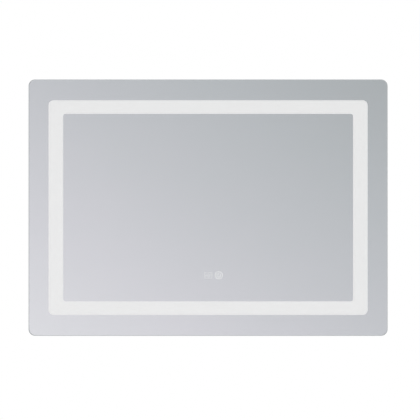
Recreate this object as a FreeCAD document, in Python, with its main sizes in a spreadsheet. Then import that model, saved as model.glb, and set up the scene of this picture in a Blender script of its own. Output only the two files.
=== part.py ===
import FreeCAD, Part
import math
import os
import Sketcher

# A wall-hung bathroom mirror with a lit frosted band round its field.
#
# Frame of the part: X runs across the mirror as it is looked at, Z is up, and the front faces -Y. The wall
# is the plane Y = 0, and the origin is midway between the two screws that hold the wall rail. A depth is a
# distance from the wall towards the front, so a depth d lies at Y = -d. All lengths are in millimetres.

Vector = FreeCAD.Vector

SIZES = {
    # Mirror glass, one plate with rounded corners and a seamed and polished edge
    "glass_width": 700,
    "glass_height": 500,
    "glass_thickness": 5,
    "glass_corner_radius": 13,
    "glass_bevel": 0.5,
    # Silver coating on the back of the glass
    "coating_thickness": 0.3,
    "coating_edge_gap": 0.2,
    # Lit band, measured from the edges of the glass
    "band_side_margin": 38.5,
    "band_end_margin": 40.5,
    "band_side_width": 28.5,
    "band_end_width": 26.5,
    "band_outer_radius": 10,
    "band_inner_radius": 4.5,
    # Hollow aluminium extrusion of the light frame
    "frame_inset": 30,
    "frame_depth": 25,
    "frame_wall": 1.5,
    "frame_flange": 6,
    "channel_width": 17,
    "channel_lip": 5,
    "adhesive_width": 5,
    "adhesive_thickness": 1,
    # Corner keys inside the mitred corners
    "key_leg": 32,
    "key_clearance": 0.2,
    # Screws and the holes that they go in
    "pan_head_radius": 3.25,
    "pan_head_height": 2,
    "pan_shank_radius": 1.45,
    "pan_length": 7,
    "short_length": 4,
    "thread_clearance": 0.05,
    "hole_clearance": 0.3,
    "fixing_corner_gap": 60,
    "fixing_inner": 88,
    # LED tapes on the light shelf of the frame
    "tape_width": 8,
    "tape_thickness": 0.4,
    "tape_end_gap": 6,
    "led_pitch": 20,
    "led_length": 3.5,
    "led_width": 2.8,
    "led_height": 0.8,
    "jumper_radius": 0.6,
    "jumper_overlap": 4,
    # Opal strips behind the lit band
    "diffuser_gap": 0.5,
    "diffuser_overlap": 3,
    "diffuser_thickness": 1.5,
    # Back panel of pressed steel sheet
    "panel_thickness": 1,
    "panel_edge_gap": 0.5,
    "panel_corner_radius": 3,
    "rib_width": 14,
    "rib_height": 2,
    "rib_length": 300,
    "rib_place": 230,
    "louvre_width": 44,
    "louvre_height": 3,
    "louvre_drop": 9,
    "louvre_pitch": 15,
    "louvre_count": 6,
    "louvre_column_gap": 150,
    "louvre_top": 92,
    # Hanging rails of bent sheet, one on the wall and one on the mirror
    "rail_sheet": 2,
    "rail_clearance": 0.5,
    "rail_edge_chamfer": 0.3,
    "hook_height": 12,
    "hook_relief": 0.5,
    "wall_rail_length": 400,
    "wall_rail_height": 30,
    "wall_screw_spacing": 300,
    "wall_slot_length": 12,
    "wall_slot_radius": 2.75,
    "mirror_rail_length": 420,
    "mirror_rail_flange": 18,
    "rail_screw_inner": 60,
    "rail_screw_outer": 170,
    # Rubber bumpers that keep the mirror upright
    "bumper_side": 14,
    "bumper_chamfer": 1.2,
    "bumper_corner_gap": 34,
    # Cable grommet in the back panel
    "grommet_bore_radius": 3.5,
    "grommet_neck_radius": 6,
    "grommet_flange_radius": 9,
    "grommet_flange_thickness": 2,
    "grommet_clearance": 0.05,
    "grommet_x": 90,
    "grommet_drop": 62,
    # Terminal block
    "terminal_x": 90,
    "terminal_drop": 20,
    "terminal_width": 32,
    "terminal_height": 18,
    "terminal_depth": 14,
    "terminal_chamfer": 3,
    "terminal_pitch": 10,
    "contact_side": 5,
    "contact_bore_radius": 1.5,
    "contact_recess": 2,
    "contact_clearance": 0.05,
    "clamp_screw_radius": 1.9,
    "clamp_screw_recess": 1,
    # Leads inside the housing, all carried at one height over the back panel
    "lead_radius": 1.1,
    "lead_height": 7,
    "lead_bend": 9,
    "lead_sag": 25,
    "clip_length": 8,
    "clip_width": 9,
    "clip_wall": 1.4,
    "clip_base": 1.5,
    # Earth stud and its nut
    "stud_x": 132,
    "stud_rise": 24,
    "stud_radius": 2,
    "stud_collar_radius": 4,
    "nut_height": 3.2,
    "nut_apothem": 3.5,
    "stud_proud": 1.5,
    # LED driver
    "driver_x": -62,
    "driver_rise": 62,
    "driver_length": 150,
    "driver_width": 46,
    "driver_base_height": 14,
    "driver_cover_height": 6,
    "driver_wall": 2,
    "driver_ear_length": 12,
    "driver_ear_width": 16,
    "driver_ear_thickness": 2.5,
    "board_thickness": 1.6,
    "board_gap": 1,
    "board_boss_radius": 2.5,
    "board_boss_height": 4,
    "board_boss_inset": 6,
    "transformer_length": 26,
    "transformer_width": 22,
    "transformer_height": 9,
    "transformer_x": -12,
    "capacitor_radius": 4,
    "capacitor_height": 9,
    "capacitor_x": 34,
    "capacitor_pitch": 14,
    # Touch sensor behind its two symbols
    "symbol_drop": 132.5,
    "demister_symbol_x": 0.2,
    "power_symbol_x": 20.9,
    "touch_case_margin": 15,
    "touch_case_height": 28,
    "touch_case_depth": 9,
    "touch_case_wall": 1.2,
    "touch_case_radius": 3,
    "touch_board_thickness": 1.2,
    "touch_boss_radius": 2,
    "touch_boss_height": 2,
    "touch_spring_radius": 4,
    "touch_spring_wire": 0.8,
    # Demister pad and its foil
    "demister_width": 360,
    "demister_height": 225,
    "demister_gap": 25,
    "demister_thickness": 0.3,
    "demister_corner_radius": 8,
    "foil_margin": 14,
    "foil_width": 3,
    "foil_thickness": 0.1,
    "foil_pairs": 7,
}

# Places and lengths that follow from the sizes
LAYOUT = {
    "panel_rear": "2 * sizes.rail_sheet + 3 * sizes.rail_clearance",
    "frame_rear": "panel_rear + sizes.panel_thickness",
    "frame_front": "frame_rear + sizes.frame_depth",
    "coating_rear": "frame_front + sizes.adhesive_thickness",
    "glass_rear": "coating_rear + sizes.coating_thickness",
    "hook_seat": "sizes.wall_rail_height / 2",
    "rail_screw_z": "hook_seat + sizes.hook_height + sizes.mirror_rail_flange / 2",
    "frame_top": "rail_screw_z + sizes.channel_width / 2",
    "frame_width": "sizes.glass_width - 2 * sizes.frame_inset",
    "frame_height": "sizes.glass_height - 2 * sizes.frame_inset",
    "centre_z": "frame_top - frame_height / 2",
    "fixing_across": "frame_width / 2 - sizes.fixing_corner_gap",
    "fixing_up": "frame_height / 2 - sizes.fixing_corner_gap",
    # The light shelf leans at 45 degrees from the lip of the channel to the outer wall
    "shelf_inset": "(sizes.channel_width + sizes.frame_wall) / 2",
    "shelf_depth": "sizes.channel_lip + (sizes.channel_width - sizes.frame_wall) / 2",
    "hollow_reach": "sizes.channel_width + sizes.channel_lip - sizes.frame_wall * sqrt(2)",
    "key_start": "sizes.frame_wall + sizes.key_clearance",
    "key_side": "hollow_reach / 2 - sizes.frame_wall - 2 * sizes.key_clearance",
    "tape_across": "frame_width - 2 * sizes.channel_width - 2 * sizes.tape_end_gap",
    "tape_up": "frame_height - 2 * sizes.channel_width - 2 * sizes.tape_end_gap",
    "leds_across": "floor((tape_across - 2 * sizes.jumper_overlap) / sizes.led_pitch)",
    "leds_up": "floor((tape_up - 2 * sizes.jumper_overlap) / sizes.led_pitch)",
    "diffuser_margin": "sizes.frame_inset + sizes.frame_flange + sizes.diffuser_gap",
    "diffuser_reach": "sizes.diffuser_overlap - diffuser_margin",
    "diffuser_end_width": "sizes.band_end_margin + sizes.band_end_width + diffuser_reach",
    "diffuser_side_width": "sizes.band_side_margin + sizes.band_side_width + diffuser_reach",
    "lead_depth": "frame_rear + sizes.lead_height",
    "terminal_z": "centre_z - sizes.terminal_drop",
    "grommet_z": "centre_z - sizes.grommet_drop",
    "driver_z": "centre_z + sizes.driver_rise",
    "driver_board_level": "sizes.driver_wall + sizes.board_boss_height",
    "stud_z": "centre_z + sizes.stud_rise",
    "touch_x": "(sizes.demister_symbol_x + sizes.power_symbol_x) / 2",
    "touch_z": "centre_z - sizes.symbol_drop",
    "touch_width": "sizes.power_symbol_x - sizes.demister_symbol_x + 2 * sizes.touch_case_margin",
    "touch_rear": "coating_rear - sizes.touch_case_depth",
    "touch_board_level": "sizes.touch_case_wall + sizes.touch_boss_height",
    "touch_lead_depth": "coating_rear - sizes.touch_case_depth / 2",
    "demister_z": "touch_z + (sizes.touch_case_height + sizes.demister_height) / 2 + sizes.demister_gap",
    "demister_rear": "coating_rear - sizes.demister_thickness",
}

doc = FreeCAD.newDocument("LightedMirror")
exported = []


def make_sheet(name, cells):
    sheet = doc.addObject("Spreadsheet::Sheet", name)
    for row, (alias, content) in enumerate(cells.items(), start=1):
        sheet.set(f"A{row}", alias)
        sheet.set(f"B{row}", str(content))
        sheet.setAlias(f"B{row}", alias)
    return sheet


sizes = make_sheet("sizes", SIZES)
layout = make_sheet("layout", {alias: "=" + formula for alias, formula in LAYOUT.items()})
doc.recompute()


def value(formula):
    result = sizes.evalExpression(formula)
    return float(getattr(result, "Value", result))


def new_body(label, hand_in=True):
    body = doc.addObject("PartDesign::Body", label)
    body.AllowCompound = True
    if hand_in:
        exported.append(body)
    return body


def origin_feature(body, role):
    return next(feature for feature in body.Origin.OriginFeatures if feature.Role == role)


def new_sketch(body, name, plane="XZ_Plane", lift="0"):
    """A sketch on an origin plane. On XZ its lift and its pads go to the front."""
    sketch = body.newObject("Sketcher::SketchObject", f"{body.Label}_{name}")
    sketch.AttachmentSupport = [(origin_feature(body, plane), "")]
    sketch.MapMode = "FlatFace"
    sketch.setExpression(".AttachmentOffset.Base.z", lift)
    return sketch


def bind(sketch, constraint, formula):
    index = sketch.addConstraint(constraint)
    sketch.setExpression(f"Constraints[{index}]", formula)


def bind_point(sketch, edge, end, across, up):
    origin = (-1, 1)
    bind(sketch, Sketcher.Constraint("DistanceX", *origin, edge, end, value(across)), across)
    bind(sketch, Sketcher.Constraint("DistanceY", *origin, edge, end, value(up)), up)


def add_polygon(sketch, corners):
    """A closed outline of straight lines, each corner held at its place from the sketch's origin."""
    origin = (-1, 1)
    points = [Vector(value(across), value(up), 0) for across, up in corners]
    ends = points[1:] + points[:1]
    lines = sketch.addGeometry([Part.LineSegment(start, end) for start, end in zip(points, ends)], False)
    sketch.addConstraint([Sketcher.Constraint("Coincident", line, 2, lines[(k + 1) % len(lines)], 1)
                          for k, line in enumerate(lines)])
    places = []
    for line, point in zip(lines, points):
        places.append(Sketcher.Constraint("DistanceX", *origin, line, 1, point.x))
        places.append(Sketcher.Constraint("DistanceY", *origin, line, 1, point.y))
    formulas = [formula for corner in corners for formula in corner]
    for index, formula in zip(sketch.addConstraint(places), formulas):
        sketch.setExpression(f"Constraints[{index}]", formula)


def add_rectangle(sketch, width, height, across="0", up="0"):
    left, right = f"({across}) - ({width}) / 2", f"({across}) + ({width}) / 2"
    low, high = f"({up}) - ({height}) / 2", f"({up}) + ({height}) / 2"
    add_polygon(sketch, [(left, low), (right, low), (right, high), (left, high)])


def add_circle(sketch, radius, across="0", up="0"):
    centre = Vector(value(across), value(up), 0)
    edge = sketch.addGeometry(Part.Circle(centre, Vector(0, 0, 1), value(radius)), False)
    bind(sketch, Sketcher.Constraint("Radius", edge, value(radius)), radius)
    bind_point(sketch, edge, 3, across, up)


def add_octagon(sketch, radius, across="0", up="0"):
    """The eight-sided outline of a small round thing, such as a screw or its hole."""
    angles = [22.5 + 45 * corner for corner in range(8)]
    add_polygon(sketch, [(f"({across}) + ({radius}) * cos({angle})", f"({up}) + ({radius}) * sin({angle})")
                         for angle in angles])


def add_arc(sketch, centre, radius, start_angle, end_angle):
    circle = Part.Circle(centre, Vector(0, 0, 1), radius)
    return sketch.addGeometry(
        Part.ArcOfCircle(circle, math.radians(start_angle), math.radians(end_angle)), False)


def add_rounded_rectangle(sketch, width, height, radius, across="0", up="0"):
    half_width, half_height, corner = value(width) / 2, value(height) / 2, value(radius)
    middle = Vector(value(across), value(up), 0)
    signs = [(1, 1), (-1, 1), (-1, -1), (1, -1)]
    arcs = []
    for k, (right, top) in enumerate(signs):
        centre = middle + Vector(right * (half_width - corner), top * (half_height - corner), 0)
        arcs.append(add_arc(sketch, centre, corner, 90 * k, 90 * k + 90))
    for k, arc in enumerate(arcs):
        following = arcs[(k + 1) % 4]
        start = sketch.getPoint(arc, 2)
        end = sketch.getPoint(following, 1)
        line = sketch.addGeometry(Part.LineSegment(start, end), False)
        sketch.addConstraint(Sketcher.Constraint("Tangent", arc, 2, line, 1))
        sketch.addConstraint(Sketcher.Constraint("Tangent", line, 2, following, 1))
        sketch.addConstraint(Sketcher.Constraint("Vertical" if k % 2 else "Horizontal", line))
    for arc in arcs[1:]:
        sketch.addConstraint(Sketcher.Constraint("Equal", arcs[0], arc))
    bind(sketch, Sketcher.Constraint("Radius", arcs[0], corner), radius)
    inner_width, inner_height = f"(({width}) / 2 - ({radius}))", f"(({height}) / 2 - ({radius}))"
    bind_point(sketch, arcs[0], 3, f"({across}) + {inner_width}", f"({up}) + {inner_height}")
    bind_point(sketch, arcs[2], 3, f"({across}) - {inner_width}", f"({up}) - {inner_height}")


def add_slot(sketch, length, radius, across="0", up="0", upright=False):
    """A slot with round ends, from end to end as long as length."""
    reach = f"(({length}) / 2 - ({radius}))"
    shift = Vector(0, value(reach), 0) if upright else Vector(value(reach), 0, 0)
    middle, turn = Vector(value(across), value(up), 0), 0 if upright else -90
    far = add_arc(sketch, middle + shift, value(radius), turn, turn + 180)
    near = add_arc(sketch, middle - shift, value(radius), turn + 180, turn + 360)
    for one, other in ((far, near), (near, far)):
        line = sketch.addGeometry(Part.LineSegment(sketch.getPoint(one, 2), sketch.getPoint(other, 1)), False)
        sketch.addConstraint(Sketcher.Constraint("Tangent", one, 2, line, 1))
        sketch.addConstraint(Sketcher.Constraint("Tangent", line, 2, other, 1))
    sketch.addConstraint(Sketcher.Constraint("Equal", far, near))
    bind(sketch, Sketcher.Constraint("Radius", far, value(radius)), radius)
    if upright:
        bind_point(sketch, far, 3, across, f"({up}) + {reach}")
        bind_point(sketch, near, 3, across, f"({up}) - {reach}")
    else:
        bind_point(sketch, far, 3, f"({across}) + {reach}", up)
        bind_point(sketch, near, 3, f"({across}) - {reach}", up)


def finish_feature(body, feature):
    """Makes the feature the body's tip, and sees that it changed the body."""
    before = body.Shape.Volume if body.Tip and body.Tip is not feature else 0
    body.Tip = feature
    doc.recompute()
    if abs(feature.Shape.Volume - before) < 1e-6 and feature.TypeId != "PartDesign::Fillet":
        raise RuntimeError(f"{feature.Label} changes nothing")
    return feature


def pad(body, sketch, length, both_ways=False, rearward=False):
    feature = doc.addObject("PartDesign::Pad", f"{sketch.Label}_pad")
    body.addObject(feature)
    feature.Profile = sketch
    feature.setExpression("Length", length)
    feature.SideType = "Symmetric" if both_ways else "One side"
    feature.Reversed = rearward
    return finish_feature(body, feature)


def pocket(body, sketch, depth=None, both_ways=False, forward=False):
    """Cuts rearward from the sketch unless forward is set, and right through with no depth."""
    feature = doc.addObject("PartDesign::Pocket", f"{sketch.Label}_cut")
    body.addObject(feature)
    feature.Profile = sketch
    if depth:
        feature.setExpression("Length", depth)
    else:
        feature.Type = "ThroughAll"
    feature.SideType = "Symmetric" if both_ways else "One side"
    feature.Reversed = forward
    return finish_feature(body, feature)


def revolve(body, sketch, axis="Y_Axis"):
    feature = doc.addObject("PartDesign::Revolution", f"{sketch.Label}_turned")
    body.addObject(feature)
    feature.Profile = sketch
    feature.ReferenceAxis = (origin_feature(body, axis), [""])
    feature.Angle = 360
    return finish_feature(body, feature)


def dress(body, kind, size, wanted):
    """A Fillet or Chamfer on the edges of the body's tip that wanted accepts."""
    base = body.Tip
    names = [f"Edge{k}" for k, edge in enumerate(base.Shape.Edges, start=1) if wanted(edge)]
    feature = doc.addObject(f"PartDesign::{kind}", f"{body.Label}_{kind.lower()}")
    body.addObject(feature)
    feature.Base = (base, names)
    feature.setExpression("Radius" if kind == "Fillet" else "Size", size)
    return finish_feature(body, feature)


def pattern(body, originals, axis, spacing, count, reverse=False):
    """A row of copies of some features along an axis, with the features themselves as its first."""
    feature = doc.addObject("PartDesign::LinearPattern", f"{originals[0].Label}_row")
    body.addObject(feature)
    feature.Originals = originals
    feature.Direction = (origin_feature(body, axis), [""])
    feature.Mode = "Spacing"
    feature.Reversed = reverse
    feature.setExpression("Offset", spacing)
    feature.setExpression("Occurrences", count)
    return finish_feature(body, feature)


def flat_to(axis, place=None):
    """Accepts edges that lie in a plane square to the axis, at a place along it if one is given."""
    def wanted(edge):
        box = edge.BoundBox
        low, high = getattr(box, f"{axis}Min"), getattr(box, f"{axis}Max")
        return high - low < 1e-4 and (place is None or abs(low - place) < 1e-4)
    return wanted


def place(thing, across, depth, up, turn=0, tilt=0):
    """Puts a thing at a place, tilted about X and then turned about Y."""
    turned = FreeCAD.Rotation(Vector(0, 1, 0), turn)
    tilted = FreeCAD.Rotation(Vector(1, 0, 0), tilt)
    thing.Placement = FreeCAD.Placement(Vector(), turned.multiply(tilted))
    thing.setExpression(".Placement.Base.x", across)
    thing.setExpression(".Placement.Base.y", f"-({depth})")
    thing.setExpression(".Placement.Base.z", up)


def group(label, form, places, facing_front=False):
    """Copies of one form as separate solids of one node."""
    copies = []
    for k, (across, depth, up) in enumerate(places, start=1):
        copy = doc.addObject("App::Link", f"{label}_{k}")
        copy.LinkedObject = form
        place(copy, across, depth, up, turn=0, tilt=180 if facing_front else 0)
        copies.append(copy)
    compound = doc.addObject("Part::Compound", label)
    compound.Links = copies
    exported.append(compound)
    return compound


# The direction of each side of the frame from the middle, across and up
SIDES = {"top": (0, 1), "right": (1, 0), "bottom": (0, -1), "left": (-1, 0)}


def lies_across(side):
    return side in ("top", "bottom")


def place_on_side(body, side, inset, depth, tilt=0):
    """Puts a body at a distance inwards from the middle of one side's outer face."""
    across, up = SIDES[side]
    place(body, f"{across} * (layout.frame_width / 2 - ({inset}))", depth,
          f"layout.centre_z + {up} * (layout.frame_height / 2 - ({inset}))",
          math.degrees(math.atan2(across, up)), tilt)


# Places of the pan-head screws of the back panel along each side, from its middle
FIXINGS = {
    "top": ["-layout.fixing_across", "layout.fixing_across"],
    "bottom": ["-layout.fixing_across", "-sizes.fixing_inner", "sizes.fixing_inner", "layout.fixing_across"],
    "right": ["-layout.fixing_up", "0", "layout.fixing_up"],
    "left": ["-layout.fixing_up", "0", "layout.fixing_up"],
}
RAIL_SCREWS = ["-sizes.rail_screw_outer", "-sizes.rail_screw_inner",
               "sizes.rail_screw_inner", "sizes.rail_screw_outer"]


def fixing_places(side):
    """The back panel screws of one side, as across and up from the middle of the mirror."""
    across, up = SIDES[side]
    if lies_across(side):
        height = f"{up} * (layout.frame_height - sizes.channel_width) / 2"
        return [(station, height) for station in FIXINGS[side]]
    reach = f"{across} * (layout.frame_width - sizes.channel_width) / 2"
    return [(reach, station) for station in FIXINGS[side]]


def mirror_glass():
    glass = new_body("mirror_glass")
    outline = new_sketch(glass, "outline")
    add_rounded_rectangle(outline, "sizes.glass_width", "sizes.glass_height", "sizes.glass_corner_radius")
    pad(glass, outline, "sizes.glass_thickness")
    dress(glass, "Chamfer", "sizes.glass_bevel", flat_to("Y"))
    place(glass, "0", "layout.glass_rear", "layout.centre_z")


def add_band_outer(sketch):
    add_rounded_rectangle(sketch, "sizes.glass_width - 2 * sizes.band_side_margin",
                          "sizes.glass_height - 2 * sizes.band_end_margin", "sizes.band_outer_radius")


def add_band_inner(sketch):
    add_rounded_rectangle(
        sketch, "sizes.glass_width - 2 * (sizes.band_side_margin + sizes.band_side_width)",
        "sizes.glass_height - 2 * (sizes.band_end_margin + sizes.band_end_width)", "sizes.band_inner_radius")


def coatings():
    """The silver outside the band, the silver inside it, and the frosted enamel of the band."""
    edge = "(sizes.glass_bevel + sizes.coating_edge_gap)"
    border = new_body("silver_border")
    border_outline = new_sketch(border, "outline")
    add_rounded_rectangle(border_outline, f"sizes.glass_width - 2 * {edge}",
                          f"sizes.glass_height - 2 * {edge}", f"sizes.glass_corner_radius - {edge}")
    add_band_outer(border_outline)
    band = new_body("frosted_band")
    band_outline = new_sketch(band, "outline")
    add_band_outer(band_outline)
    add_band_inner(band_outline)
    field = new_body("silver_field")
    field_outline = new_sketch(field, "outline")
    add_band_inner(field_outline)
    for body, outline in ((border, border_outline), (band, band_outline), (field, field_outline)):
        pad(body, outline, "sizes.coating_thickness")
        place(body, "0", "layout.coating_rear", "layout.centre_z")


def frame_adhesive():
    bead = new_body("frame_adhesive")
    outline = new_sketch(bead, "outline")
    outer_inset = "(sizes.frame_flange - sizes.adhesive_width) / 2"
    for inset in (outer_inset, f"({outer_inset} + sizes.adhesive_width)"):
        add_rectangle(outline, f"layout.frame_width - 2 * {inset}", f"layout.frame_height - 2 * {inset}")
    pad(bead, outline, "sizes.adhesive_thickness")
    place(bead, "0", "layout.frame_front", "layout.centre_z")


def frame_member(side):
    """One mitred length of the extrusion, drawn as the top side: outer face up, back face at Y = 0."""
    member = new_body(f"frame_{side}")
    length = "layout.frame_width" if lies_across(side) else "layout.frame_height"
    section = new_sketch(member, "section", "YZ_Plane")
    add_polygon(section, [
        ("0", "0"),
        ("0", "-sizes.channel_width"),
        ("-sizes.channel_lip", "-sizes.channel_width"),
        ("-(sizes.channel_lip + sizes.channel_width - sizes.frame_wall)", "-sizes.frame_wall"),
        ("-(sizes.frame_depth - sizes.frame_wall)", "-sizes.frame_wall"),
        ("-(sizes.frame_depth - sizes.frame_wall)", "-sizes.frame_flange"),
        ("-sizes.frame_depth", "-sizes.frame_flange"),
        ("-sizes.frame_depth", "0"),
    ])
    inner_side = "sizes.channel_width - sizes.frame_wall"
    add_polygon(section, [
        ("-sizes.frame_wall", "-sizes.frame_wall"),
        ("-sizes.frame_wall", f"-({inner_side})"),
        (f"-(layout.hollow_reach - ({inner_side}))", f"-({inner_side})"),
        ("-(layout.hollow_reach - sizes.frame_wall)", "-sizes.frame_wall"),
    ])
    pad(member, section, length, both_ways=True)

    mitres = new_sketch(member, "mitres")
    beyond = "sizes.channel_width"
    for end in ("", "-"):
        add_polygon(mitres, [
            (f"{end}({length} / 2 + {beyond})", beyond),
            (f"{end}({length} / 2 - 2 * {beyond})", f"-2 * {beyond}"),
            (f"{end}({length} / 2 + {beyond})", f"-2 * {beyond}"),
        ])
    pocket(member, mitres, both_ways=True)

    pilots = new_sketch(member, "pilots")
    stations = FIXINGS[side] + (RAIL_SCREWS if side == "top" else [])
    for station in stations:
        add_octagon(pilots, "sizes.pan_shank_radius + sizes.thread_clearance", station,
                    "-sizes.channel_width / 2")
    pocket(member, pilots, "2 * sizes.frame_wall", both_ways=True)
    place_on_side(member, side, "0", "layout.frame_rear")


def corner_keys():
    """Cast keys with two legs at right angles, drawn for the top right corner and staked in the frame."""
    corners = {"top_right": (1, 1), "bottom_right": (1, -1), "bottom_left": (-1, -1), "top_left": (-1, 1)}
    start = "layout.key_start"
    tip, inside = f"({start} + sizes.key_leg)", f"({start} + layout.key_side)"
    for corner, (right, top) in corners.items():
        key = new_body(f"corner_key_{corner}")
        outline = new_sketch(key, "outline")
        add_polygon(outline, [
            (f"-{start}", f"-{start}"), (f"-{tip}", f"-{start}"), (f"-{tip}", f"-{inside}"),
            (f"-{inside}", f"-{inside}"), (f"-{inside}", f"-{tip}"), (f"-{start}", f"-{tip}"),
        ])
        pad(key, outline, "layout.key_side")
        place(key, f"{right} * layout.frame_width / 2", "layout.frame_rear + layout.key_start",
              f"layout.centre_z + {top} * layout.frame_height / 2",
              math.degrees(math.atan2(right, top) - math.atan2(1, 1)))


def pan_screw(label, length):
    """A pan-head screw: under its head at the origin, head to the rear, shank to the front."""
    screw = new_body(label, hand_in=False)
    head = new_sketch(screw, "head")
    add_octagon(head, "sizes.pan_head_radius")
    pad(screw, head, "sizes.pan_head_height", rearward=True)
    shank = new_sketch(screw, "shank")
    add_octagon(shank, "sizes.pan_shank_radius")
    pad(screw, shank, length)
    return screw


def led_tape(side):
    """A flexible board on the light shelf and the row of LEDs on it, drawn lying flat."""
    length = "layout.tape_across" if lies_across(side) else "layout.tape_up"
    count = "layout.leds_across" if lies_across(side) else "layout.leds_up"
    tape = new_body(f"led_tape_{side}")
    outline = new_sketch(tape, "outline", "XY_Plane")
    add_rectangle(outline, length, "sizes.tape_width")
    pad(tape, outline, "sizes.tape_thickness")
    leds = new_body(f"led_chips_{side}")
    chip = new_sketch(leds, "chip", "XY_Plane", "sizes.tape_thickness")
    add_rectangle(chip, "sizes.led_length", "sizes.led_width", f"-({count} - 1) / 2 * sizes.led_pitch")
    first = pad(leds, chip, "sizes.led_height")
    pattern(leds, [first], "X_Axis", "sizes.led_pitch", count)
    for body in (tape, leds):
        place_on_side(body, side, "layout.shelf_inset", "layout.frame_rear + layout.shelf_depth", tilt=135)


def diffuser(side):
    strip = new_body(f"diffuser_{side}")
    outline = new_sketch(strip, "outline")
    if lies_across(side):
        width = "layout.diffuser_end_width"
        length = "sizes.glass_width - 2 * layout.diffuser_margin"
    else:
        width = "layout.diffuser_side_width"
        length = ("sizes.glass_height - 2 * layout.diffuser_margin"
                  " - 2 * (layout.diffuser_end_width + sizes.diffuser_gap)")
    add_rectangle(outline, length, width)
    pad(strip, outline, "sizes.diffuser_thickness")
    place_on_side(strip, side, f"layout.diffuser_margin - sizes.frame_inset + {width} / 2",
                  "layout.coating_rear - sizes.diffuser_thickness")


def back_panel():
    """Steel sheet with two pressed ribs and two columns of louvres, both raised towards the wall."""
    panel = new_body("back_panel")
    outline = new_sketch(panel, "outline")
    add_rounded_rectangle(outline, "layout.frame_width - 2 * sizes.panel_edge_gap",
                          "layout.frame_height - 2 * sizes.panel_edge_gap", "sizes.panel_corner_radius")
    pad(panel, outline, "sizes.panel_thickness")

    ribs = new_sketch(panel, "ribs")
    hollows = new_sketch(panel, "rib_hollows", lift="sizes.panel_thickness")
    for side in ("", "-"):
        add_slot(ribs, "sizes.rib_length", "sizes.rib_width / 2", f"{side}sizes.rib_place", upright=True)
        add_slot(hollows, "sizes.rib_length - 2 * sizes.panel_thickness",
                 "sizes.rib_width / 2 - sizes.panel_thickness", f"{side}sizes.rib_place", upright=True)
    pad(panel, ribs, "sizes.rib_height", rearward=True)
    pocket(panel, hollows, "sizes.rib_height")

    # A louvre hangs from its top edge and opens downwards, with closed cheeks at both ends
    sheet, drop, top = "sizes.panel_thickness", "sizes.louvre_drop", "-sizes.louvre_top"
    for name, side in (("right", ""), ("left", "-")):
        column = f"{side}sizes.louvre_column_gap / 2"
        hood = new_sketch(panel, f"hood_{name}", "YZ_Plane", column)
        add_polygon(hood, [("0", top), ("sizes.louvre_height", f"{top} - {drop}"), ("0", f"{top} - {drop}")])
        hood_pad = pad(panel, hood, "sizes.louvre_width", both_ways=True)
        mouth = new_sketch(panel, f"mouth_{name}", "YZ_Plane", column)
        add_polygon(mouth, [(f"-{sheet}", f"{top} - 2 * {sheet}"),
                            (f"sizes.louvre_height - {sheet}", f"{top} - {drop}"),
                            (f"-{sheet}", f"{top} - {drop}")])
        mouth_cut = pocket(panel, mouth, f"sizes.louvre_width - 2 * {sheet}", both_ways=True)
        pattern(panel, [hood_pad, mouth_cut], "Z_Axis", "sizes.louvre_pitch", "sizes.louvre_count",
                reverse=True)

    rail_height = "layout.rail_screw_z - layout.centre_z"
    clearance_hole = "sizes.pan_shank_radius + sizes.hole_clearance"
    driver_hole = "sizes.pan_shank_radius + sizes.thread_clearance"
    rows = {f"{side}_holes": [(clearance_hole, *spot) for spot in fixing_places(side)] for side in SIDES}
    rows["rail_holes"] = [(clearance_hole, across, rail_height) for across in RAIL_SCREWS]
    rows["driver_holes"] = [(driver_hole, across, "sizes.driver_rise") for across in driver_screw_places()]
    for name, holes in rows.items():
        row = new_sketch(panel, name)
        for radius, across, up in holes:
            add_octagon(row, radius, across, up)
        pocket(panel, row, both_ways=True)
    cable_hole = new_sketch(panel, "cable_hole")
    add_circle(cable_hole, "sizes.grommet_neck_radius + sizes.grommet_clearance",
               "sizes.grommet_x", "-sizes.grommet_drop")
    pocket(panel, cable_hole, both_ways=True)
    place(panel, "0", "layout.panel_rear", "layout.centre_z")


def panel_screws():
    screw = pan_screw("panel_screw", "sizes.pan_length")
    places = [(across, "layout.panel_rear", f"layout.centre_z + {up}")
              for side in SIDES for across, up in fixing_places(side)]
    group("back_panel_screws", screw, places)
    rail_face = "layout.panel_rear - sizes.rail_sheet"
    group("mirror_rail_screws", screw, [(across, rail_face, "layout.rail_screw_z") for across in RAIL_SCREWS])


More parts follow.
